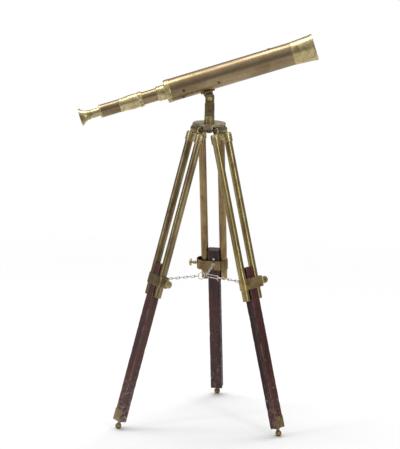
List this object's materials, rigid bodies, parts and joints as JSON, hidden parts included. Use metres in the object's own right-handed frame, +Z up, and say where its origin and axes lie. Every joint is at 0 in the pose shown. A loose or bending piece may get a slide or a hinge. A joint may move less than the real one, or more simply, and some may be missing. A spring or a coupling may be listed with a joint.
{
  "type": "tripod telescope",
  "caption": "Brass table telescope with a focusing tube, on a turning and tilting post above a folding tripod with sliding wooden lower legs and a spreader chain.",
  "frame": {"origin": "centre of the overall box, on the surface that the feet stand on", "axes": "+Z up; +X level, the way the objective points; +Y away from the side that the tilt screw's slotted head is on"},
  "size_m": [0.3999, 0.279, 0.6645],
  "materials": {
    "aged_brass": "aged, brown spots",
    "bright_brass": "rubbed bright, spotted",
    "dark_brass": "dark brown patina",
    "leg_brass": "olive gold patina",
    "blackened": "matt black",
    "steel": "dull grey",
    "lens_glass": "clear",
    "dark_wood": "dark red-brown mahogany, worn polish"
  },
  "bodies": {
    "head": {"tripod_head": "aged_brass", "post_collar": "bright_brass", "hinge_screws": "steel", "hinge_nuts": "aged_brass"},
    "post": {"post": "aged_brass", "post_washer": "steel", "post_nut": "aged_brass", "tilt_screw": "bright_brass", "tilt_nut": "aged_brass"},
    "barrel": {"barrel_tube": "dark_brass", "mount_lug": "aged_brass", "dew_cap": "bright_brass", "objective_crown": "lens_glass", "objective_flint": "lens_glass", "objective_ring": "dark_brass", "glare_stops": "blackened", "barrel_end_ring": "bright_brass", "draw_guide": "bright_brass", "barrel_screws": "steel"},
    "draw": {"draw_tube": "dark_brass", "inner_guide_ring": "aged_brass", "erector_lens": "lens_glass", "coupling_bead": "bright_brass", "draw_coupling": "bright_brass", "eye_tube": "dark_brass", "eye_tube_lip": "bright_brass"},
    "eyepiece": {"eyepiece_tube": "aged_brass", "eyecup": "bright_brass", "field_lens": "lens_glass", "eye_lens": "lens_glass"},
    "rear_upper": {"rear_sockets": "bright_brass", "rear_tubes": "leg_brass", "rear_clamp": "leg_brass", "rear_chain_eye": "steel"},
    "rear_thumbscrew": {"rear_thumbscrew": "bright_brass"},
    "rear_lower": {"rear_wood_leg": "dark_wood", "rear_shoe_plate": "bright_brass", "rear_stop_screw": "steel", "rear_foot": "bright_brass"},
    "rear_chain": {"rear_chain": "steel"},
    "left_upper": {"left_sockets": "bright_brass", "left_tubes": "leg_brass", "left_clamp": "leg_brass", "left_chain_eye": "steel"},
    "left_thumbscrew": {"left_thumbscrew": "bright_brass"},
    "left_lower": {"left_wood_leg": "dark_wood", "left_shoe_plate": "bright_brass", "left_stop_screw": "steel", "left_foot": "bright_brass"},
    "left_chain": {"left_chain": "steel"},
    "right_upper": {"right_sockets": "bright_brass", "right_tubes": "leg_brass", "right_clamp": "leg_brass", "right_chain_eye": "steel"},
    "right_thumbscrew": {"right_thumbscrew": "bright_brass"},
    "right_lower": {"right_wood_leg": "dark_wood", "right_shoe_plate": "bright_brass", "right_stop_screw": "steel", "right_foot": "bright_brass"},
    "right_chain": {"right_chain": "steel"}
  },
  "joints": [
    {"name": "pan", "type": "hinge", "parent": "head", "child": "post", "pos_m": [0.01995, -0.02784, 0.51227], "axis": [0, 0, 1], "continuous": true},
    {"name": "tilt", "type": "hinge", "parent": "post", "child": "barrel", "pos_m": [0.01995, -0.02784, 0.55377], "axis": [0, -1, 0], "range_deg": [-53.1, 41.9]},
    {"name": "focus", "type": "slide", "parent": "barrel", "child": "draw", "axis": [-0.9505, 0, -0.3107], "range_m": [-0.024, 0.02]},
    {"name": "eyepiece_slide", "type": "slide", "parent": "draw", "child": "eyepiece", "axis": [-0.9505, 0, -0.3107], "range_m": [-0.016, 0.012]},
    {"name": "rear_fold", "type": "hinge", "parent": "head", "child": "rear_upper", "pos_m": [0.02335, -0.00509, 0.50227], "axis": [-0.989, 0.1478, 0], "range_deg": [0, 13]},
    {"name": "rear_clamp_turn", "type": "hinge", "parent": "rear_upper", "child": "rear_thumbscrew", "pos_m": [0.03372, 0.06432, 0.25089], "axis": [-0.989, 0.1478, 0], "range_deg": [0, 360]},
    {"name": "rear_extend", "type": "slide", "parent": "rear_upper", "child": "rear_lower", "axis": [-0.0397, -0.266, 0.9632], "range_m": [0, 0.2]},
    {"name": "rear_chain_swing", "type": "hinge", "parent": "rear_upper", "child": "rear_chain", "pos_m": [0.03181, 0.05152, 0.25039], "axis": [0.989, -0.1478, 0], "range_deg": [0, 102]},
    {"name": "left_fold", "type": "hinge", "parent": "head", "child": "left_upper", "pos_m": [-0.00026, -0.03881, 0.50227], "axis": [0.4772, -0.8788, 0], "range_deg": [0, 13]},
    {"name": "left_clamp_turn", "type": "hinge", "parent": "left_upper", "child": "left_thumbscrew", "pos_m": [-0.06195, -0.07231, 0.25089], "axis": [0.4772, -0.8788, 0], "range_deg": [0, 360]},
    {"name": "left_extend", "type": "slide", "parent": "left_upper", "child": "left_lower", "axis": [0.2363, 0.1283, 0.9632], "range_m": [0, 0.2]},
    {"name": "left_chain_swing", "type": "hinge", "parent": "left_upper", "child": "left_chain", "pos_m": [-0.05057, -0.06613, 0.25039], "axis": [-0.4772, 0.8788, 0], "range_deg": [0, 102]},
    {"name": "right_fold", "type": "hinge", "parent": "head", "child": "right_upper", "pos_m": [0.03795, -0.04216, 0.50227], "axis": [0.6225, 0.7826, 0], "range_deg": [0, 13]},
    {"name": "right_clamp_turn", "type": "hinge", "parent": "right_upper", "child": "right_thumbscrew", "pos_m": [0.09288, -0.08585, 0.25089], "axis": [0.6225, 0.7826, 0], "range_deg": [0, 360]},
    {"name": "right_extend", "type": "slide", "parent": "right_upper", "child": "right_lower", "axis": [-0.2105, 0.1674, 0.9632], "range_m": [0, 0.2]},
    {"name": "right_chain_swing", "type": "hinge", "parent": "right_upper", "child": "right_chain", "pos_m": [0.08275, -0.07779, 0.25039], "axis": [-0.6225, -0.7826, 0], "range_deg": [0, 102]}
  ],
  "couplings": [
    {"joint": "rear_chain_swing", "follows": "rear_fold", "ratio": 7.7692},
    {"joint": "left_chain_swing", "follows": "left_fold", "ratio": 7.7692},
    {"joint": "right_chain_swing", "follows": "right_fold", "ratio": 7.7692}
  ]
}
